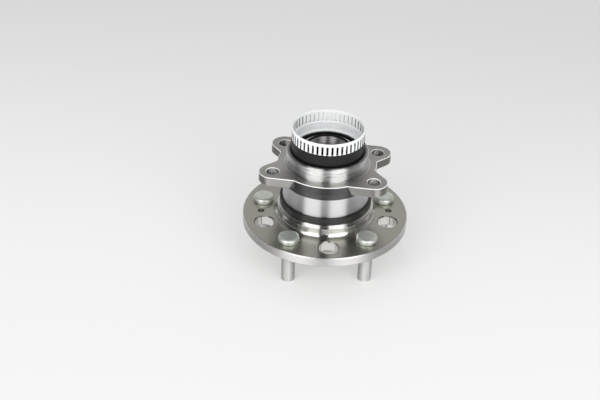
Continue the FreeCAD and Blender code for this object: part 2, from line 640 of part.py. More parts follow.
def inboard_seal_case():
    """Pressed steel case in the outer ring's inboard bore."""
    inner = SEAL_BORE_RADIUS - INBOARD_CASE_REACH
    return turned(
        (inner, INBOARD_CASE_START),
        (SEAL_BORE_RADIUS, INBOARD_CASE_START),
        (SEAL_BORE_RADIUS, INBOARD_CASE_END),
        (CASE_INSIDE_RADIUS, INBOARD_CASE_END),
        (CASE_INSIDE_RADIUS, INBOARD_CASE_START + SHEET),
        (inner, INBOARD_CASE_START + SHEET),
    )


def inboard_seal_lip():
    """Rubber on the case: radial lip on the slinger's collar, face lip under its flange, and end bead."""
    case_inner = SEAL_BORE_RADIUS - INBOARD_CASE_REACH
    case_floor = INBOARD_CASE_START + SHEET
    skin = case_floor + RUBBER_SKIN
    bead_top = INBOARD_CASE_END + INBOARD_BEAD_HEIGHT
    tip = INNER_SHOULDER_RADIUS + SHEET + LIP_CLEARANCE
    face = SLINGER_TOP - SHEET - LIP_CLEARANCE
    face_lip = case_inner + FACE_LIP_ROOT + INBOARD_FACE_LIP_SPREAD
    return turned(
        (case_inner, INBOARD_CASE_START),
        (case_inner, case_floor),
        (CASE_INSIDE_RADIUS, case_floor),
        (CASE_INSIDE_RADIUS, INBOARD_CASE_END),
        (SEAL_BORE_RADIUS, INBOARD_CASE_END),
        (SEAL_BORE_RADIUS, bead_top - EDGE_BREAK),
        (SEAL_BORE_RADIUS - EDGE_BREAK, bead_top),
        (CASE_INSIDE_RADIUS, bead_top),
        (CASE_INSIDE_RADIUS - RUBBER_SKIN, skin),
        (case_inner + FACE_LIP_ROOT, skin),
        (face_lip, face),
        (face_lip - INBOARD_FACE_LIP_EDGE, face),
        (case_inner, skin),
        (tip + LIP_ROOT, skin),
        (tip + LIP_EDGE, skin + LIP_EDGE),
        (tip, skin + LIP_EDGE),
        (tip, skin),
        (tip + LIP_ROOT, INBOARD_CASE_START),
    )


def inboard_slinger():
    """Steel ring pressed on the inner ring's shoulder. Its flange covers the seal and carries the tone ring."""
    collar = INNER_SHOULDER_RADIUS + SHEET
    return turned(
        (INNER_SHOULDER_RADIUS, SLINGER_TOP - SLINGER_LENGTH),
        (collar, SLINGER_TOP - SLINGER_LENGTH),
        (collar, SLINGER_TOP - SHEET),
        (SLINGER_RADIUS, SLINGER_TOP - SHEET),
        (SLINGER_RADIUS, SLINGER_TOP),
        (INNER_SHOULDER_RADIUS, SLINGER_TOP),
    )


def tone_ring_carrier():
    """Black moulded ring bonded to the slinger. Its wall grips the tone ring up to the foot of the slots."""
    ridge_start = INNER_SHOULDER_RADIUS + CARRIER_RIDGE_GAP
    ridge_end = ridge_start + CARRIER_RIDGE_WIDTH
    ridge_top = CARRIER_FLOOR_TOP + CARRIER_RIDGE_HEIGHT
    return turned(
        (INNER_SHOULDER_RADIUS, SLINGER_TOP),
        (SLINGER_RADIUS, SLINGER_TOP),
        (SLINGER_RADIUS, SLINGER_TOP - SHEET),
        (CARRIER_RADIUS, SLINGER_TOP - SHEET),
        (CARRIER_RADIUS, SLOT_BOTTOM),
        (CARRIER_SEAT_RADIUS, SLOT_BOTTOM),
        (CARRIER_SEAT_RADIUS, CARRIER_FLOOR_TOP),
        (ridge_end + CARRIER_RIDGE_SLOPE, CARRIER_FLOOR_TOP),
        (ridge_end, ridge_top),
        (ridge_start, ridge_top),
        (ridge_start - CARRIER_RIDGE_SLOPE, CARRIER_FLOOR_TOP),
        (INNER_SHOULDER_RADIUS, CARRIER_FLOOR_TOP),
    )


def tone_ring():
    """Steel ring with a row of slots for the wheel-speed sensor, stepped in where the carrier grips it."""
    foot = CARRIER_SEAT_RADIUS - TONE_RING_WALL
    inside = TONE_RING_RADIUS - TONE_RING_WALL
    ring = turned(
        (foot - TONE_RING_FOOT, CARRIER_FLOOR_TOP),
        (CARRIER_SEAT_RADIUS, CARRIER_FLOOR_TOP, TONE_RING_BEND),
        (CARRIER_SEAT_RADIUS, SLOT_BOTTOM),
        (TONE_RING_RADIUS, SLOT_BOTTOM),
        (TONE_RING_RADIUS, TONE_RING_TOP - TONE_RING_BREAK),
        (TONE_RING_RADIUS - TONE_RING_BREAK, TONE_RING_TOP),
        (inside + TONE_RING_BREAK, TONE_RING_TOP),
        (inside, TONE_RING_TOP - TONE_RING_BREAK),
        (inside, SLOT_BOTTOM),
        (foot, SLOT_BOTTOM - TONE_RING_WALL),
        (foot, CARRIER_FLOOR_TOP + TONE_RING_WALL, TONE_RING_BEND / 2),
        (foot - TONE_RING_FOOT, CARRIER_FLOOR_TOP + TONE_RING_WALL),
    )
    depth = TONE_RING_WALL + 2 * TOOL_OVERRUN
    slot = Part.makeBox(SLOT_WIDTH, depth, SLOT_HEIGHT)
    slot.translate(FreeCAD.Vector(-SLOT_WIDTH / 2, -depth / 2, SLOT_BOTTOM))
    wall_middle = TONE_RING_RADIUS - TONE_RING_WALL / 2
    pitch = 360 / TONE_RING_TEETH
    return ring.cut([on_circle(slot, wall_middle, TONE_RING_TURN + i * pitch) for i in range(TONE_RING_TEETH)])


def all_parts():
    """Every sub-part by name."""
    parts = {
        "outer_ring": outer_ring(),
        "wheel_hub": wheel_hub(),
        "inner_ring": inner_ring(),
        "outboard_cage": cage("outboard", -1),
        "inboard_cage": cage("inboard", 1),
        "outboard_seal_case": outboard_seal_case(),
        "outboard_seal_lip": outboard_seal_lip(),
        "inboard_seal_case": inboard_seal_case(),
        "inboard_seal_lip": inboard_seal_lip(),
        "inboard_slinger": inboard_slinger(),
        "tone_ring_carrier": tone_ring_carrier(),
        "tone_ring": tone_ring(),
    }
    for row in ROW_HEIGHTS:
        for index in range(BALL_COUNT):
            parts[f"{row}_ball_{index + 1:02d}"] = ball(row, index)
    stud = wheel_stud()
    for i in range(STUD_COUNT):
        angle = HUB_TURN + (i + 0.5) * 360 / STUD_COUNT
        parts[f"wheel_stud_{i + 1}"] = on_circle(stud, WHEEL_CIRCLE_RADIUS, angle)
    return parts


def main():
    os.makedirs("parts", exist_ok=True)
    for name, shape in all_parts().items():
        if not shape.isValid() or not shape.Solids:
            raise ValueError(f"{name} is not a valid solid")
        shape.exportStep(f"parts/{name}.step")
        print(f"{name:24s} {len(shape.Solids)} solid, {shape.Volume:10.1f} mm3")


main()
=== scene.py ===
"""Looks of the wheel hub bearing: materials, stud threads, studio and camera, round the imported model.

Blender's units are metres. MM turns sizes given in millimetres into metres. Z is the turning axis, and the
photograph looks along +Y. The materials measure places in millimetres in the part's own frame. A mask is 1
where its finish shows and 0 elsewhere.
"""
import math

import bpy
from mathutils import Matrix, Vector


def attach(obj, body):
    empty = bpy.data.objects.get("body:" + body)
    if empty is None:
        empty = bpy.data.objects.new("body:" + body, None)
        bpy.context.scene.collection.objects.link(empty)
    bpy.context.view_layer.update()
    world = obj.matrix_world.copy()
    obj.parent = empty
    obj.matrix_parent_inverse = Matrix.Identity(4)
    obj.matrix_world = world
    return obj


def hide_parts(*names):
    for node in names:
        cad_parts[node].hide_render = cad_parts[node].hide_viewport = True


MM = 0.001

# Camera: where it stands, and where the middle of the hub flange's top face lies in the 600 x 400 picture
PICTURE_WIDTH = 600
PICTURE_HEIGHT = 400
FOCAL_PIXELS = 1059
SENSOR_WIDTH = 36
CAMERA_DISTANCE = 949 * MM
CAMERA_AZIMUTH = 6.9
CAMERA_ELEVATION = 33.41
CAMERA_ROLL = 2.63
TARGET_PIXEL = (324.89, 210.44)
TARGET_HEIGHT = 9.5 * MM

# Hub flange and its access holes, as in the model
FLANGE_RADIUS = 73.4
FLANGE_THICKNESS = 9.5
STUD_COUNT = 5
HUB_TURN = 11.4
HOLE_CHAMFER = 0.8
HOLES_INSIDE = 44.0
HOLES_OUTSIDE = 71.0
HOLE_SECTOR = 0.5
RIM_INSET = 0.05
# Where the painted highlight along the rim's top edge lies
RIM_HIGHLIGHT_HEIGHT = 1.2
RIM_HIGHLIGHT_WIDTH = 0.52
RIM_HIGHLIGHT_INSET = 0.08

# Hub shoulder: its polish starts above the foot's fillet and ends under the outer ring
SHOULDER_POLISH_RADIUS = 46.4
SHOULDER_POLISH_FROM = 10.8
RING_START = 26.5

# Spindle end at the bottom of the cup: a collar painted black as shade, round a recess with turned lines
# and painted shade deep inside
SPINDLE_END_FROM = 63.0
SPINDLE_END_RADIUS = 25.0
SPINDLE_MOUTH_RADIUS = 16.8
# The recess's painted shade fades in from the higher height down to the lower
RECESS_UNSHADED_FROM = 72.0
RECESS_FULL_SHADE_TO = 68.0
RECESS_LINE_PITCH = 1.496

# Wheel studs, as in the model apart from their threads
WHEEL_CIRCLE_RADIUS = 57.15
STUD_REACH = 32.4
STUD_THREAD_RADIUS = 6.0
STUD_SHANK_RADIUS = 6.3
STUD_HEAD_RADIUS = 9.25
STUD_HEAD_HEIGHT = 5.1
STUD_HEAD_ROUNDING = 2.4
STUD_ROUNDING_STEPS = 8
STUD_FOOT_CHAMFER = 0.5
STUD_TIP_TAPER = 1.6
STUD_PLATE_FROM = -2.0
THREAD_PITCH = 1.5
THREAD_DEPTH = 0.92
THREAD_RUN_OUT = 2.2
THREAD_CREST = 1 / 8
THREAD_FLANK = 5 / 16
THREAD_ROWS_PER_PITCH = 8
THREAD_COLUMNS = 48
SHARP_ANGLE = 35

# Outer ring, as in the model
OUTBOARD_RADIUS = 38.0
NECK_START = 45.0
EAR_UNDERSIDE = 51.7
EAR_TOP = 60.4
# The ears' top edge, this high, carries a painted highlight
EAR_EDGE = 0.5
PILOT_FOOT = 0.5
RING_END = 73.35
# The ring's mouth, down to this depth, carries painted shade
MOUTH_EDGE = 0.2
OUTSIDE_INSET = 0.3
UNDERSIDE_INSET = 0.4
EAR_HOLE_X = 42.565
EAR_HOLE_Y = 24.973
EAR_HOLE_REACH = 7.5
# Painted shade in the ear holes: full from this depth under the ears' top downwards, fading in over the
# next
EAR_HOLE_FULL_SHADE_DEPTH = 6.5
EAR_HOLE_SHADE_FADE = 5.0
EAR_THREAD_PITCH = 1.25
FORGED_HALF_WIDTH = 22.8
FORGED_SPREAD = 0.5
FORGED_FADE = 0.8

# Tone ring: the middle of its sheet, and how far up its carrier is painted with shade above the outer ring
TONE_RING_MIDDLE = 30.95
CARRIER_FOOT = 74.8

# How many millimetres the edge of a mask takes to fade
SOFT = 0.1
FINE = 0.05

# Levels of a noise, a wave or a slope from which a shade starts and at which it is full
CLOUD_LEVELS = 0.3, 0.7
TURNING_MARK_LEVELS = 0.4, 0.6
RECESS_LINE_LEVELS = -0.2, 0.6
WORN_LEVELS = 0.45, 0.37
EAR_THREAD_LEVELS = -0.8, 0.8
SLOT_WALL_LEVELS = 0.5, 0.8

# Highlights lie across the turned marks when the shader's stretch is turned by this
QUARTER_TURN = 0.25

# Colours. Where there are two, the surface drifts between them.
FLANGE_COLOURS = (0.40, 0.402, 0.352, 1), (0.47, 0.455, 0.41, 1)
TURNING_MARK_COLOUR = (0.38, 0.375, 0.345, 1)
TURNING_MARK_SHARE = 0.3
ACCESS_WALL_COLOUR = (0.74, 0.73, 0.71, 1)
RIM_COLOUR = (0.82, 0.81, 0.795, 1)
# Painted highlight along the rim's top edge
RIM_HIGHLIGHT_COLOUR = (1.0, 1.0, 0.99, 1)
SHOULDER_COLOUR = (0.78, 0.77, 0.75, 1)
RECESS_COLOURS = (0.52, 0.485, 0.50, 1), (0.92, 0.88, 0.90, 1)
# Painted shade deep in the recess, and on the collar at the bottom of the cup
RECESS_SHADE_COLOUR = (0.03, 0.03, 0.03, 1)
COLLAR_SHADE_COLOUR = (0.025, 0.025, 0.027, 1)
BAND_COLOURS = (0.66, 0.66, 0.66, 1), (0.73, 0.73, 0.735, 1)
PILOT_COLOUR = (0.76, 0.76, 0.755, 1)
WORN_COLOUR = (0.50, 0.50, 0.495, 1)
# Painted shade on the outer ring's mouth, beside the gap at the carrier
RING_MOUTH_SHADE_COLOUR = (0.34, 0.335, 0.325, 1)
EAR_COLOURS = (0.45, 0.44, 0.42, 1), (0.52, 0.51, 0.485, 1)
FORGED_COLOURS = (0.095, 0.095, 0.097, 1), (0.165, 0.163, 0.165, 1)
# Painted highlight along the ears' top edge
EAR_EDGE_HIGHLIGHT_COLOUR = (0.95, 0.95, 0.94, 1)
EAR_THREAD_COLOURS = (0.50, 0.495, 0.485, 1), (0.88, 0.87, 0.86, 1)
# Painted shade deep in the ear holes
EAR_HOLE_SHADE_COLOUR = (0.13, 0.128, 0.125, 1)
BEARING_COLOURS = (0.60, 0.60, 0.60, 1), (0.72, 0.72, 0.71, 1)
BALL_COLOURS = (0.74, 0.74, 0.75, 1), (0.80, 0.80, 0.80, 1)
CAGE_COLOURS = (0.045, 0.042, 0.038, 1), (0.075, 0.070, 0.062, 1)
SEAL_CASE_COLOURS = (0.50, 0.50, 0.49, 1), (0.62, 0.62, 0.61, 1)
RUBBER_COLOURS = (0.010, 0.010, 0.0095, 1), (0.020, 0.0195, 0.019, 1)
CARRIER_COLOURS = (0.012, 0.012, 0.013, 1), (0.020, 0.020, 0.022, 1)
# Painted shade on the carrier's foot, in the gap at the outer ring
CARRIER_FOOT_SHADE_COLOUR = (0.003, 0.003, 0.003, 1)
TONE_RING_COLOURS = (0.78, 0.805, 0.81, 1), (0.85, 0.865, 0.865, 1)
# Slot walls: painted light on the inner half, painted shade on the outer half
SLOT_WALL_LIGHT_AND_SHADE_COLOURS = (0.40, 0.41, 0.41, 1), (0.01, 0.01, 0.01, 1)
STUD_HEAD_COLOURS = (0.68, 0.72, 0.66, 1), (0.78, 0.81, 0.76, 1)
STUD_SHANK_COLOUR = (0.76, 0.76, 0.75, 1)

# Roughness. Where there are two, the surface drifts between them.
FLANGE_ROUGHNESS = 0.23, 0.27
RIM_ROUGHNESS = 0.75
RIM_HIGHLIGHT_ROUGHNESS = 0.45
ACCESS_WALL_ROUGHNESS = 0.16
SHOULDER_ROUGHNESS = 0.22
SPINDLE_END_ROUGHNESS = 0.5
BAND_ROUGHNESS = 0.34, 0.40
EAR_WALL_ROUGHNESS = 0.62
EAR_HOLE_ROUGHNESS = 0.24
BEARING_ROUGHNESS = 0.2
BALL_ROUGHNESS = 0.05, 0.09
CAGE_ROUGHNESS = 0.5
SEAL_CASE_ROUGHNESS = 0.35
RUBBER_ROUGHNESS = 0.30, 0.38
CARRIER_ROUGHNESS = 0.38, 0.50
CARRIER_FOOT_SHADE_ROUGHNESS = 0.95
TONE_RING_ROUGHNESS = 0.42, 0.52
STUD_ROUGHNESS = 0.42, 0.54

# How much of the painted highlight on the ears' edge or a plated stud mirrors as bare metal does, and how
# strongly the blacks mirror
EAR_EDGE_HIGHLIGHT_METAL = 0.2
STUD_METAL = 0.9
RUBBER_GLOSS = 0.6
CARRIER_GLOSS = 0.15

# Floor: its colour and its glow change over these places in front of the part, under it and behind it
FLOOR_SIZE = 12.0
FLOOR_NEAR = -250.0
FLOOR_MIDDLE = 0.0
FLOOR_FAR = 600.0
FLOOR_NEAR_COLOUR = (0.84, 0.84, 0.84, 1)
FLOOR_MIDDLE_COLOUR = (0.89, 0.89, 0.89, 1)
FLOOR_FAR_COLOUR = (0.83, 0.83, 0.83, 1)
FLOOR_NEAR_GLOW = (0.92, 0.92, 0.92, 1)
FLOOR_FAR_GLOW = (0.70, 0.70, 0.70, 1)
FLOOR_GLOW_SHARE = 0.4
FLOOR_ROUGHNESS = 0.6
FLOOR_GLOSS = 0.2

# Lights and room
BACKDROP_COLOUR = (0.80, 0.80, 0.80, 1)
FILL_LIGHT = (0.65, 0.65, 0.65, 1)
ROOM_FRONT_COLOUR = (0.03, 0.03, 0.03, 1)
ROOM_BRIGHT_TOWARDS = (0, 0.8, 0.35)
ROOM_DARK_TO = 0.15
ROOM_BRIGHT_FROM = 1.0
SOFTBOX_SIDE = 32.0
SOFTBOX_DISTANCE = 1.2
SOFTBOX_WIDTH = 0.92
SOFTBOX_TALL = 1.6
SOFTBOX_GLOW = 2.6


class Nodes:
    """A node tree under construction. Each method adds a node and returns what it puts out."""

    def __init__(self, tree):
        self.tree = tree

    def node(self, kind, **settings):
        node = self.tree.nodes.new(kind)
        for key, value in settings.items():
            setattr(node, key, value)
        return node

    def feed(self, socket, value):
        """Links another node's output to this socket, or sets a constant on it."""
        if isinstance(value, bpy.types.NodeSocket):
            self.tree.links.new(value, socket)
        else:
            socket.default_value = value

    def fill(self, node, values):
        """Feeds the node's first sockets, in order."""
        for socket, value in zip(node.inputs, values):
            self.feed(socket, value)
        return node

    def math(self, operation, *values):
        node = self.node("ShaderNodeMath", operation=operation)
        return self.fill(node, values).outputs[0]

    def times(self, first, second):
        return self.math("MULTIPLY", first, second)

    def minus(self, first, second):
        return self.math("SUBTRACT", first, second)

    def vector(self, operation, *values):
        node = self.node("ShaderNodeVectorMath", operation=operation)
        return self.fill(node, values).outputs["Vector"]

    def dot(self, *values):
        node = self.node("ShaderNodeVectorMath", operation="DOT_PRODUCT")
        return self.fill(node, values).outputs["Value"]

    def spread(self, value, low, high, start=0.0, end=1.0, shape="SMOOTHSTEP"):
        """Carries low..high over to start..end, with no overshoot."""
        node = self.node("ShaderNodeMapRange", interpolation_type=shape)
        for name, number in (("From Min", low), ("From Max", high), ("To Min", start), ("To Max", end)):
            self.feed(node.inputs[name], number)
        self.feed(node.inputs["Value"], value)
        return node.outputs["Result"]

    def above(self, value, limit, soft):
        """1 from the limit up, fading to 0 just under it."""
        return self.spread(value, limit - soft, limit)

    def below(self, value, limit, soft):
        """1 up to the limit, fading to 0 just over it."""
        return self.spread(value, limit, limit + soft, 1.0, 0.0)

    def within(self, value, low, high, soft):
        """1 from low to high, fading to 0 outside."""
        return self.times(self.above(value, low, soft), self.below(value, high, soft))

    def blend(self, share, first, second):
        """A colour from first (share 0) to second (share 1)."""
        node = self.node("ShaderNodeMix", data_type="RGBA")
        colours = [socket for socket in node.inputs if socket.type == "RGBA"]
        self.feed(node.inputs["Factor"], share)
        self.feed(colours[0], first)
        self.feed(colours[1], second)
        return [socket for socket in node.outputs if socket.type == "RGBA"][0]

    def number(self, share, first, second):
        """A number from first (share 0) to second (share 1)."""
        node = self.node("ShaderNodeMix", data_type="FLOAT")
        numbers = [socket for socket in node.inputs if socket.type == "VALUE"]
        for socket, value in zip(numbers, (share, first, second)):
            self.feed(socket, value)
        return node.outputs[0]

    def mix_shaders(self, share, first, second):
        """A shader from first (share 0) to second (share 1)."""
        return self.fill(self.node("ShaderNodeMixShader"), (share, first, second)).outputs[0]


class Paint(Nodes):
    """A material under construction, with its places, noises and masks in millimetres."""

    def __init__(self, name):
        self.material = bpy.data.materials.new(name)
        self.material.use_nodes = True
        super().__init__(self.material.node_tree)
        self.surface = self.tree.nodes["Principled BSDF"]
        place = self.node("ShaderNodeTexCoord").outputs["Object"]
        self.place = self.vector("MULTIPLY", place, (1 / MM, 1 / MM, 1 / MM))
        axes = self.node("ShaderNodeSeparateXYZ")
        self.feed(axes.inputs[0], self.place)
        self.x, self.y, self.z = axes.outputs
        squares = self.math("ADD", self.math("POWER", self.x, 2.0), self.math("POWER", self.y, 2.0))
        self.radius = self.math("SQRT", squares)
        self.profile = self.math("ADD", self.radius, self.z)

    def set(self, **values):
        """Feeds the surface's sockets: base_color feeds Base Color, and so on."""
        for key, value in values.items():
            self.feed(self.surface.inputs[key.replace("_", " ").title()], value)

    def gloss(self, level):
        """How strongly a surface that isn't metal mirrors."""
        self.surface.inputs["Specular IOR Level"].default_value = level

    def noise(self, scale, detail=3.0, place=None):
        """Cloudy noise, with features of about 1 / scale millimetres."""
        node = self.node("ShaderNodeTexNoise")
        self.feed(node.inputs["Vector"], place if place is not None else self.place)
        self.feed(node.inputs["Scale"], scale)
        self.feed(node.inputs["Detail"], detail)
        return node.outputs["Fac"]

    def clouds(self, start=0.0, end=1.0, *, scale, detail=3.0):
        """Noise that reaches all the way from start to end."""
        return self.spread(self.noise(scale, detail), *CLOUD_LEVELS, start, end)

    def streaks(self, scale, along):
        """Noise drawn out round the axis, into marks about 1 / scale mm high and 1 / along mm long."""
        return self.noise(1.0, 4.0, self.vector("MULTIPLY", self.place, (along, along, scale)))

    def rings(self, scale, detail=4.0):
        """Noise that changes along the turned profile only, so its marks run round the axis."""
        node = self.node("ShaderNodeTexNoise", noise_dimensions="1D")
        self.feed(node.inputs["W"], self.profile)
        self.feed(node.inputs["Scale"], scale)
        self.feed(node.inputs["Detail"], detail)
        return node.outputs["Fac"]

    def wave(self, pitch):
        """Swings between -1 and 1, once per pitch up the axis."""
        return self.math("SINE", self.times(self.z, 2 * math.pi / pitch))

    def slot_walls(self):
        """1 on walls that face round the axis, such as the sides of a slot, and 0 on turned faces."""
        along = self.vector("NORMALIZE", self.vector("CROSS_PRODUCT", (0.0, 0.0, 1.0), self.place))
        facing = self.dot(along, self.node("ShaderNodeTexCoord").outputs["Normal"])
        return self.spread(self.math("ABSOLUTE", facing), *SLOT_WALL_LEVELS)

    def bump(self, height, strength, distance, normal=None):
        """Bumps of this strength, of which the highest stands up by the distance in millimetres."""
        node = self.node("ShaderNodeBump")
        self.feed(node.inputs["Height"], height)
        self.feed(node.inputs["Strength"], strength)
        self.feed(node.inputs["Distance"], distance * MM)
        if normal is not None:
            self.feed(node.inputs["Normal"], normal)
        return node.outputs[0]

    def stretch(self, amount):
        """Stretches highlights across marks that run round the axis."""
        along = self.vector("CROSS_PRODUCT", (0.0, 0.0, 1.0), self.place)
        turn = self.node("ShaderNodeVectorTransform", vector_type="VECTOR")
        turn.convert_from = "OBJECT"
        turn.convert_to = "WORLD"
        self.feed(turn.inputs[0], along)
        self.set(tangent=self.vector("NORMALIZE", turn.outputs[0]))
        self.set(anisotropic=amount, anisotropic_rotation=QUARTER_TURN)


def access_walls(paint):
    """Mask of the walls of the flange's access holes, which lie between the stud holes."""
    turn = paint.math("ARCTAN2", paint.x, paint.times(paint.y, -1.0))
    sector = paint.math("COSINE", paint.times(paint.minus(turn, math.radians(HUB_TURN)), STUD_COUNT))
    walls = paint.within(paint.z, HOLE_CHAMFER + SOFT, FLANGE_THICKNESS - HOLE_CHAMFER - SOFT, SOFT)
    walls = paint.times(walls, paint.within(paint.radius, HOLES_INSIDE, HOLES_OUTSIDE, SOFT))
    return paint.times(walls, paint.above(sector, HOLE_SECTOR, SOFT))


def rim_edge_highlight(paint):
    """Mask of the painted highlight, a bright line where the rim meets the flange's top."""
    low = FLANGE_THICKNESS - RIM_HIGHLIGHT_HEIGHT
    high = FLANGE_THICKNESS - RIM_HIGHLIGHT_INSET
    outside = paint.above(paint.radius, FLANGE_RADIUS - RIM_HIGHLIGHT_WIDTH, soft=RIM_HIGHLIGHT_INSET)
    return paint.times(paint.within(paint.z, low, high, soft=0.03), outside)


def spindle_end_colour(paint):
    """The rolled-over end: its collar painted near-black as shade at the bottom of the cup, round a recess
    that is lined at its mouth and painted with shade below.
    """
    recess = paint.blend(paint.spread(paint.wave(RECESS_LINE_PITCH), *RECESS_LINE_LEVELS), *RECESS_COLOURS)
    # Painted shade, darker deeper in the recess
    painted_shade = paint.below(paint.z, RECESS_FULL_SHADE_TO, soft=RECESS_UNSHADED_FROM - RECESS_FULL_SHADE_TO)
    recess = paint.blend(painted_shade, recess, RECESS_SHADE_COLOUR)
    return paint.blend(paint.above(paint.radius, SPINDLE_MOUTH_RADIUS, soft=0.4), recess, COLLAR_SHADE_COLOUR)


def hub_steel():
    """Turned flange with a bright rim carrying a painted highlight on its top edge, a polished shoulder,
    and the rolled-over spindle end with painted shade in its cup.
    """
    paint = Paint("hub steel")
    holes = access_walls(paint)
    rim = paint.above(paint.radius, FLANGE_RADIUS - RIM_INSET, SOFT)
    # Painted highlight along the rim's top edge
    edge_highlight = rim_edge_highlight(paint)
    shoulder = paint.times(
        paint.below(paint.radius, SHOULDER_POLISH_RADIUS, soft=1.0),
        paint.within(paint.z, SHOULDER_POLISH_FROM, RING_START, soft=0.4),
    )
    spindle_end = paint.times(
        paint.above(paint.z, SPINDLE_END_FROM, soft=1.0),
        paint.below(paint.radius, SPINDLE_END_RADIUS, soft=1.0),
    )
    colour = paint.blend(paint.noise(scale=0.03), *FLANGE_COLOURS)
    marks = paint.spread(paint.rings(scale=0.7), *TURNING_MARK_LEVELS, end=TURNING_MARK_SHARE)
    colour = paint.blend(marks, colour, TURNING_MARK_COLOUR)
    rough = paint.clouds(*FLANGE_ROUGHNESS, scale=0.06)
    for mask, finish, roughness in (
        (holes, ACCESS_WALL_COLOUR, ACCESS_WALL_ROUGHNESS),
        (rim, RIM_COLOUR, RIM_ROUGHNESS),
        (edge_highlight, RIM_HIGHLIGHT_COLOUR, RIM_HIGHLIGHT_ROUGHNESS),
        (shoulder, SHOULDER_COLOUR, SHOULDER_ROUGHNESS),
        (spindle_end, spindle_end_colour(paint), SPINDLE_END_ROUGHNESS),
    ):
        colour = paint.blend(mask, colour, finish)
        rough = paint.number(mask, rough, roughness)
    paint.stretch(1.0)
    turned = paint.bump(paint.rings(scale=3.0, detail=6.0), strength=0.05, distance=0.02)
    paint.set(base_color=colour, metallic=1.0, roughness=rough, normal=turned)
    return paint.material


def forged_neck(paint, outside):
    """Mask of the forged skin between the ears and under them."""
    flare = paint.times(paint.minus(EAR_TOP, paint.z), FORGED_SPREAD)
    beyond = paint.minus(paint.minus(paint.math("ABSOLUTE", paint.x), FORGED_HALF_WIDTH), flare)
    between = paint.below(beyond, -FORGED_FADE, soft=2 * FORGED_FADE)
    under = paint.below(paint.z, EAR_UNDERSIDE - UNDERSIDE_INSET, soft=UNDERSIDE_INSET / 2)
    neck = paint.within(paint.z, NECK_START - SOFT, EAR_TOP - EAR_EDGE - FINE, FINE)
    return paint.times(paint.times(neck, outside), paint.math("MAXIMUM", between, under))


def ear_hole_walls(paint):
    """Mask of the walls of the four ear holes."""
    beside = paint.math("POWER", paint.minus(paint.math("ABSOLUTE", paint.x), EAR_HOLE_X), 2.0)
    behind = paint.math("POWER", paint.minus(paint.math("ABSOLUTE", paint.y), EAR_HOLE_Y), 2.0)
    near = paint.math("LESS_THAN", paint.math("ADD", beside, behind), EAR_HOLE_REACH**2)
    chamfer = HOLE_CHAMFER + SOFT
    return paint.times(near, paint.within(paint.z, EAR_UNDERSIDE + chamfer, EAR_TOP - chamfer, SOFT))


def outer_ring_steel():
    """Ground bands, a worn pilot, satin ears with tapped holes, and a dark forged neck between the ears.
    The ears' top edge carries a painted highlight, and the holes' depths and the ring's mouth carry painted
    shade.
    """
    paint = Paint("outer ring steel")
    pilot = paint.above(paint.z, EAR_TOP + PILOT_FOOT, soft=PILOT_FOOT)
    worn = paint.times(paint.spread(paint.streaks(scale=0.7, along=0.08), *WORN_LEVELS), pilot)
    # Painted shade on the ring's mouth
    mouth = paint.above(paint.z, RING_END - MOUTH_EDGE, soft=MOUTH_EDGE)
    outside = paint.above(paint.radius, OUTBOARD_RADIUS - OUTSIDE_INSET, SOFT)
    ears = paint.times(paint.within(paint.z, NECK_START - SOFT, EAR_TOP + SOFT, FINE), outside)
    # Painted highlight along the ears' top edge
    edge_highlight = paint.times(outside, paint.within(paint.z, EAR_TOP - EAR_EDGE, EAR_TOP - SOFT, SOFT))
    holes = ear_hole_walls(paint)
    wave = paint.wave(EAR_THREAD_PITCH)
    thread = paint.blend(paint.spread(wave, *EAR_THREAD_LEVELS), *EAR_THREAD_COLOURS)
    # Painted shade deep in the ear holes
    painted_shade = paint.below(paint.z, EAR_TOP - EAR_HOLE_FULL_SHADE_DEPTH, soft=EAR_HOLE_SHADE_FADE)
    colour = paint.blend(paint.rings(scale=1.4), *BAND_COLOURS)
    for mask, finish in (
        (pilot, PILOT_COLOUR),
        (worn, WORN_COLOUR),
        (mouth, RING_MOUTH_SHADE_COLOUR),
        (ears, paint.blend(paint.noise(scale=0.05), *EAR_COLOURS)),
        (forged_neck(paint, outside), paint.blend(paint.noise(scale=0.9), *FORGED_COLOURS)),
        (edge_highlight, EAR_EDGE_HIGHLIGHT_COLOUR),
        (holes, paint.blend(painted_shade, thread, EAR_HOLE_SHADE_COLOUR)),
    ):
        colour = paint.blend(mask, colour, finish)
    ear_walls = paint.times(ears, paint.below(paint.z, EAR_TOP - SOFT, FINE))
    rough = paint.clouds(*BAND_ROUGHNESS, scale=0.06)
    rough = paint.number(ear_walls, rough, EAR_WALL_ROUGHNESS)
    rough = paint.number(holes, rough, EAR_HOLE_ROUGHNESS)
    turned = paint.bump(paint.rings(scale=3.0, detail=6.0), strength=0.06, distance=0.02)
    threads = paint.bump(paint.times(wave, holes), strength=0.2, distance=0.1, normal=turned)
    paint.stretch(1.0)
    metal = paint.number(edge_highlight, 1.0, EAR_EDGE_HIGHLIGHT_METAL)
    paint.set(base_color=colour, metallic=metal, roughness=rough, normal=threads)
    return paint.material


def bearing_steel():
    """Ground bearing steel."""
    paint = Paint("bearing steel")
    paint.set(base_color=paint.blend(paint.rings(scale=1.5), *BEARING_COLOURS), metallic=1.0)
    paint.stretch(0.6)
    ground = paint.bump(paint.rings(scale=8.0, detail=6.0), strength=0.2, distance=0.01)
    paint.set(roughness=BEARING_ROUGHNESS, normal=ground)
    return paint.material


def ball_steel():
    """Lapped balls."""
    paint = Paint("ball steel")
    paint.set(base_color=paint.blend(paint.noise(scale=0.6), *BALL_COLOURS), metallic=1.0)
    paint.set(roughness=paint.clouds(*BALL_ROUGHNESS, scale=2.0))
    return paint.material


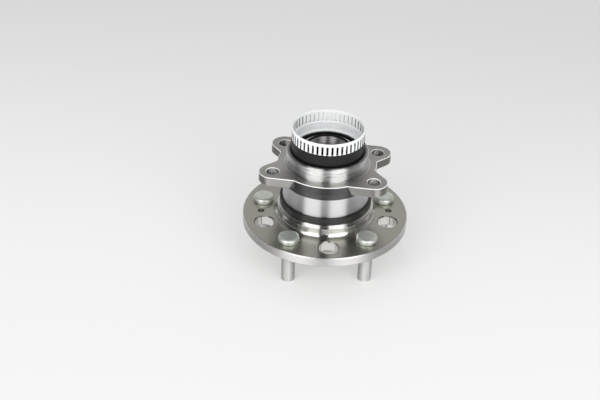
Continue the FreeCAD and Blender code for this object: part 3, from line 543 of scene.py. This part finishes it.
def cage_nylon():
    """Glass-filled nylon."""
    paint = Paint("cage nylon")
    paint.set(base_color=paint.blend(paint.noise(scale=1.5, detail=6.0), *CAGE_COLOURS))
    grain = paint.bump(paint.noise(scale=4.0, detail=5.0), strength=0.3, distance=0.05)
    paint.set(roughness=CAGE_ROUGHNESS, normal=grain)
    return paint.material


def seal_case_steel():
    """Pressed sheet steel."""
    paint = Paint("seal case steel")
    paint.set(base_color=paint.blend(paint.noise(scale=0.5), *SEAL_CASE_COLOURS), metallic=1.0)
    paint.stretch(0.4)
    drawn = paint.bump(paint.rings(scale=5.0), strength=0.2, distance=0.02)
    paint.set(roughness=SEAL_CASE_ROUGHNESS, normal=drawn)
    return paint.material


def seal_rubber():
    """Moulded black rubber."""
    paint = Paint("seal rubber")
    paint.set(base_color=paint.blend(paint.noise(scale=0.4), *RUBBER_COLOURS))
    paint.stretch(0.9)
    grain = paint.bump(paint.noise(scale=5.0, detail=5.0), strength=0.15, distance=0.04)
    paint.set(roughness=paint.clouds(*RUBBER_ROUGHNESS, scale=0.8), normal=grain)
    paint.gloss(RUBBER_GLOSS)
    return paint.material


def carrier_plastic():
    """Moulded black plastic with rings from its turned mould, and painted shade on its foot, in the gap at
    the outer ring.
    """
    paint = Paint("carrier plastic")
    # Painted shade on the carrier's foot, in the gap at the outer ring
    foot = paint.below(paint.z, CARRIER_FOOT, soft=0.3)
    colour = paint.blend(foot, paint.blend(paint.noise(scale=0.5), *CARRIER_COLOURS), CARRIER_FOOT_SHADE_COLOUR)
    rough = paint.number(foot, paint.clouds(*CARRIER_ROUGHNESS, scale=0.7), CARRIER_FOOT_SHADE_ROUGHNESS)
    moulded = paint.bump(paint.rings(scale=2.5), strength=0.25, distance=0.05)
    paint.set(base_color=colour, roughness=rough, normal=moulded)
    paint.gloss(CARRIER_GLOSS)
    return paint.material


def tone_ring_zinc():
    """Pale zinc plate on pressed steel. The slot walls carry painted light on their inner half and painted
    shade on their outer half.
    """
    paint = Paint("tone ring zinc")
    plate = paint.blend(paint.clouds(scale=0.35, detail=5.0), *TONE_RING_COLOURS)
    # Slot walls: painted light on the inner half, painted shade on the outer half
    slot_light_and_shade = paint.blend(paint.above(paint.radius, TONE_RING_MIDDLE + FINE, SOFT), *SLOT_WALL_LIGHT_AND_SHADE_COLOURS)
    colour = paint.blend(paint.slot_walls(), plate, slot_light_and_shade)
    grain = paint.bump(paint.noise(scale=3.0, detail=5.0), strength=0.2, distance=0.03)
    paint.set(base_color=colour, roughness=paint.clouds(*TONE_RING_ROUGHNESS, scale=0.9), normal=grain)
    return paint.material


def stud_zinc():
    """Faintly green zinc plate on a forged and rolled stud."""
    paint = Paint("stud zinc")
    head = paint.blend(paint.clouds(scale=0.3, detail=5.0), *STUD_HEAD_COLOURS)
    colour = paint.blend(paint.spread(paint.z, STUD_PLATE_FROM, FLANGE_THICKNESS), STUD_SHANK_COLOUR, head)
    grain = paint.bump(paint.noise(scale=1.2, detail=5.0), strength=0.25, distance=0.08)
    rough = paint.clouds(*STUD_ROUGHNESS, scale=0.8)
    paint.set(base_color=colour, metallic=STUD_METAL, roughness=rough, normal=grain)
    return paint.material


def dress(material, *names):
    """Gives the material to these nodes of the model."""
    for name in names:
        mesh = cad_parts[name].data
        mesh.materials.clear()
        mesh.materials.append(material)


def thread_cut(phase):
    """How deep the thread is cut at this share of its pitch: flat crest, flank, flat root, flank."""
    phase -= math.floor(phase)
    if phase < THREAD_CREST:
        return 0.0
    if phase < THREAD_CREST + THREAD_FLANK:
        return (phase - THREAD_CREST) / THREAD_FLANK
    if phase < 1 - THREAD_FLANK:
        return 1.0
    return (1 - phase) / THREAD_FLANK


def stud_outline():
    """Pairs of radius and height up the stud above its thread: shank, rounded head and its flat top."""
    head_top = FLANGE_THICKNESS + STUD_HEAD_HEIGHT
    corner = STUD_HEAD_RADIUS - STUD_HEAD_ROUNDING
    outline = [
        (STUD_SHANK_RADIUS, 0.0),
        (STUD_SHANK_RADIUS, FLANGE_THICKNESS),
        (STUD_HEAD_RADIUS - STUD_FOOT_CHAMFER, FLANGE_THICKNESS),
        (STUD_HEAD_RADIUS, FLANGE_THICKNESS + STUD_FOOT_CHAMFER),
    ]
    for i in range(STUD_ROUNDING_STEPS + 1):
        angle = math.pi / 2 * i / STUD_ROUNDING_STEPS
        across = STUD_HEAD_ROUNDING * math.cos(angle)
        up = STUD_HEAD_ROUNDING * math.sin(angle)
        outline.append((corner + across, head_top - STUD_HEAD_ROUNDING + up))
    outline.append((corner / 2, head_top))
    return outline


def stud_rows():
    """Rows of points up the stud, each given by radius, height and share of a turn."""
    rows = []
    count = round(STUD_REACH / THREAD_PITCH * THREAD_ROWS_PER_PITCH)
    for i in range(count + 1):
        height = -STUD_REACH + STUD_REACH * i / count
        tip = STUD_THREAD_RADIUS - STUD_TIP_TAPER + (height + STUD_REACH)
        fade = min(1.0, max(0.0, -height / THREAD_RUN_OUT))
        row = []
        for j in range(THREAD_COLUMNS):
            turn = j / THREAD_COLUMNS
            radius = STUD_THREAD_RADIUS - THREAD_DEPTH * fade * thread_cut(height / THREAD_PITCH - turn)
            row.append((min(radius, tip), height, turn))
        rows.append(row)
    for radius, height in stud_outline():
        rows.append([(radius, height, j / THREAD_COLUMNS) for j in range(THREAD_COLUMNS)])
    return rows


def stud_mesh():
    """One wheel stud on its own axis: rolled thread, shank and head, closed at both ends."""
    rows = stud_rows()
    points = []
    for row in rows:
        for radius, height, turn in row:
            angle = 2 * math.pi * turn
            points.append((radius * math.cos(angle) * MM, radius * math.sin(angle) * MM, height * MM))
    bottom = len(points)
    points.append((0, 0, -STUD_REACH * MM))
    points.append((0, 0, (FLANGE_THICKNESS + STUD_HEAD_HEIGHT) * MM))
    faces = []
    for i in range(len(rows) - 1):
        for j in range(THREAD_COLUMNS):
            k = (j + 1) % THREAD_COLUMNS
            low, high = i * THREAD_COLUMNS, (i + 1) * THREAD_COLUMNS
            faces.append((low + j, low + k, high + k, high + j))
    top = (len(rows) - 1) * THREAD_COLUMNS
    for j in range(THREAD_COLUMNS):
        k = (j + 1) % THREAD_COLUMNS
        faces.append((bottom, k, j))
        faces.append((bottom + 1, top + j, top + k))
    mesh = bpy.data.meshes.new("threaded stud")
    mesh.from_pydata(points, [], faces)
    mesh.shade_smooth()
    mesh.set_sharp_from_angle(angle=math.radians(SHARP_ANGLE))
    return mesh


def place_studs(material):
    """The five studs, each on its place in the flange."""
    mesh = stud_mesh()
    mesh.materials.append(material)
    for i in range(STUD_COUNT):
        stud = bpy.data.objects.new(f"threaded_stud_{i + 1}", mesh)
        bpy.context.scene.collection.objects.link(stud)
        angle = math.radians(HUB_TURN + (i + 0.5) * 360 / STUD_COUNT)
        place = Vector((math.sin(angle), -math.cos(angle), 0)) * WHEEL_CIRCLE_RADIUS * MM
        stud.matrix_world = Matrix.Translation(place) @ Matrix.Rotation(angle, 4, "Z")
        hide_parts(f"wheel_stud_{i + 1}")
        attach(stud, "hub")


def floor_paint():
    """Pale floor. The camera and mirroring surfaces see part of it as a plain glow, for a soft shadow."""
    paint = Paint("floor")
    to_middle = paint.spread(paint.y, FLOOR_NEAR, FLOOR_MIDDLE)
    to_far = paint.spread(paint.y, FLOOR_MIDDLE, FLOOR_FAR)
    colour = paint.blend(to_middle, FLOOR_NEAR_COLOUR, FLOOR_MIDDLE_COLOUR)
    colour = paint.blend(to_far, colour, FLOOR_FAR_COLOUR)
    paint.set(base_color=colour, roughness=FLOOR_ROUGHNESS)
    paint.gloss(FLOOR_GLOSS)
    glow = paint.node("ShaderNodeEmission")
    fading = paint.spread(paint.y, FLOOR_NEAR, FLOOR_FAR)
    paint.feed(glow.inputs["Color"], paint.blend(fading, FLOOR_NEAR_GLOW, FLOOR_FAR_GLOW))
    rays = paint.node("ShaderNodeLightPath").outputs
    seen = paint.math("MAXIMUM", rays["Is Camera Ray"], rays["Is Glossy Ray"])
    seen = paint.math("MAXIMUM", seen, rays["Is Transmission Ray"])
    share = paint.times(seen, FLOOR_GLOW_SHARE)
    mixed = paint.mix_shaders(share, paint.surface.outputs[0], glow.outputs[0])
    paint.feed(paint.tree.nodes["Material Output"].inputs["Surface"], mixed)
    return paint.material


def lay_floor():
    """A floor under the stud tips."""
    half = FLOOR_SIZE / 2
    mesh = bpy.data.meshes.new("floor")
    corners = [(-half, -half, 0), (half, -half, 0), (half, half, 0), (-half, half, 0)]
    mesh.from_pydata(corners, [], [(0, 1, 2, 3)])
    floor = bpy.data.objects.new("floor", mesh)
    floor.location = (0, 0, -STUD_REACH * MM)
    mesh.materials.append(floor_paint())
    bpy.context.scene.collection.objects.link(floor)


def add_softbox(name, azimuth):
    """A soft box that stands on the floor and faces the part, at this angle from the camera, towards +X."""
    light = bpy.data.lights.new(name, "AREA")
    light.shape = "RECTANGLE"
    light.size = SOFTBOX_WIDTH
    light.size_y = SOFTBOX_TALL
    light.energy = SOFTBOX_GLOW * math.pi * SOFTBOX_WIDTH * SOFTBOX_TALL
    lamp = bpy.data.objects.new(name, light)
    turn = math.radians(CAMERA_AZIMUTH + azimuth)
    away = Vector((math.sin(turn), -math.cos(turn), 0))
    lamp.location = away * SOFTBOX_DISTANCE + Vector((0, 0, SOFTBOX_TALL / 2 - STUD_REACH * MM))
    lamp.rotation_euler = away.to_track_quat("Z", "Y").to_euler()
    lamp.visible_camera = False
    bpy.context.scene.collection.objects.link(lamp)


def light_studio():
    """Two soft boxes in front, and a room that metal mirrors as dark in front and pale behind and overhead.

    Dull surfaces get even fill light from it, and the camera sees it as a plain backdrop.
    """
    add_softbox("left softbox", -SOFTBOX_SIDE)
    add_softbox("right softbox", SOFTBOX_SIDE)
    world = bpy.data.worlds.new("studio")
    world.use_nodes = True
    nodes = Nodes(world.node_tree)
    room = nodes.tree.nodes["Background"]
    lean = nodes.dot(nodes.node("ShaderNodeTexCoord").outputs["Generated"], ROOM_BRIGHT_TOWARDS)
    share = nodes.spread(lean, ROOM_DARK_TO, ROOM_BRIGHT_FROM, shape="LINEAR")
    nodes.feed(room.inputs["Color"], nodes.blend(share, ROOM_FRONT_COLOUR, BACKDROP_COLOUR))
    rays = nodes.node("ShaderNodeLightPath").outputs
    seen = room.outputs[0]
    for ray, colour in (("Is Diffuse Ray", FILL_LIGHT), ("Is Camera Ray", BACKDROP_COLOUR)):
        other = nodes.node("ShaderNodeBackground")
        nodes.feed(other.inputs["Color"], colour)
        seen = nodes.mix_shaders(rays[ray], seen, other.outputs[0])
    nodes.feed(nodes.tree.nodes["World Output"].inputs["Surface"], seen)
    bpy.context.scene.world = world


def place_camera():
    """A camera at the photograph's distance, height, roll and framing."""
    azimuth = math.radians(CAMERA_AZIMUTH)
    elevation = math.radians(CAMERA_ELEVATION)
    roll = math.radians(CAMERA_ROLL)
    level = math.cos(elevation)
    back = Vector((math.sin(azimuth) * level, -math.cos(azimuth) * level, math.sin(elevation)))
    forward = -back
    level_right = forward.cross(Vector((0, 0, 1))).normalized()
    level_up = level_right.cross(forward)
    right = math.cos(roll) * level_right + math.sin(roll) * level_up
    up = math.cos(roll) * level_up - math.sin(roll) * level_right
    across = (TARGET_PIXEL[0] - PICTURE_WIDTH / 2) / FOCAL_PIXELS
    above = (PICTURE_HEIGHT / 2 - TARGET_PIXEL[1]) / FOCAL_PIXELS
    swing = Vector((0, 0, 1)).rotation_difference(Vector((across, above, 1))).to_matrix()
    axes = swing @ Matrix((right, up, forward))
    camera = bpy.data.objects.new("camera", bpy.data.cameras.new("camera"))
    camera.data.sensor_width = SENSOR_WIDTH
    camera.data.lens = FOCAL_PIXELS / PICTURE_WIDTH * SENSOR_WIDTH
    turn = Matrix((axes[0], axes[1], -axes[2])).transposed()
    place = Vector((0, 0, TARGET_HEIGHT)) + back * CAMERA_DISTANCE
    camera.matrix_world = Matrix.Translation(place) @ turn.to_4x4()
    bpy.context.scene.collection.objects.link(camera)
    bpy.context.scene.camera = camera


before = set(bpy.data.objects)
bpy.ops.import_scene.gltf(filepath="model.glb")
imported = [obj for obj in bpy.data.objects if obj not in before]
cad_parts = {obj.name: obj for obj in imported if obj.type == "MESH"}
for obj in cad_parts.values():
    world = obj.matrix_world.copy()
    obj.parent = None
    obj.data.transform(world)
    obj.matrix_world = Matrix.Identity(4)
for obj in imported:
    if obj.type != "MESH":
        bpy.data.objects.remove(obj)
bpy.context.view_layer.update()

balls = [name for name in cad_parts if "_ball_" in name]
dress(hub_steel(), "wheel_hub")
dress(outer_ring_steel(), "outer_ring")
dress(bearing_steel(), "inner_ring")
dress(ball_steel(), *balls)
dress(cage_nylon(), "outboard_cage", "inboard_cage")
dress(seal_case_steel(), "outboard_seal_case", "inboard_seal_case", "inboard_slinger")
dress(seal_rubber(), "outboard_seal_lip", "inboard_seal_lip")
dress(carrier_plastic(), "tone_ring_carrier")
dress(tone_ring_zinc(), "tone_ring")
place_studs(stud_zinc())
lay_floor()
light_studio()
place_camera()
bpy.context.scene.view_settings.view_transform = "Standard"
